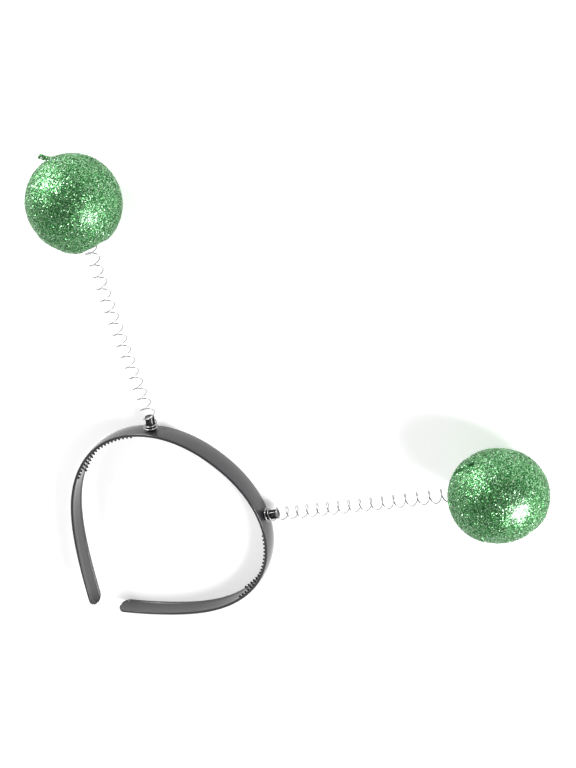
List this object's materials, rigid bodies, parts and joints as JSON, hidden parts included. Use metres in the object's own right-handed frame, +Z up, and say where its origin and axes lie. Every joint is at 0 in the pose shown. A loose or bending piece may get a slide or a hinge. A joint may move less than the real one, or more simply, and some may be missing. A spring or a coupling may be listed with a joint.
{
  "type": "head bopper",
  "caption": "Open oval plastic headband with inner grip teeth, carrying springs on pegs that end in glitter balls. Lies on its side.",
  "frame": {"origin": "middle of the crown's flat lower edge, on the surface that the part lies on", "axes": "+Z up from that surface, +Y from the arms to the crown, X across the headband, left arm towards -X"},
  "size_m": [0.3166, 0.2787, 0.05],
  "materials": {
    "band_plastic": "satin",
    "peg_plastic": "satin",
    "spring_wire": "bright drawn wire",
    "glitter_coat": "fine metallic glitter"
  },
  "bodies": {
    "root": {"headband": "band_plastic", "peg_left": "peg_plastic", "peg_right": "peg_plastic", "spring_left": "spring_wire", "spring_right": "spring_wire", "ball_left": "glitter_coat", "ball_right": "glitter_coat"}
  },
  "joints": []
}
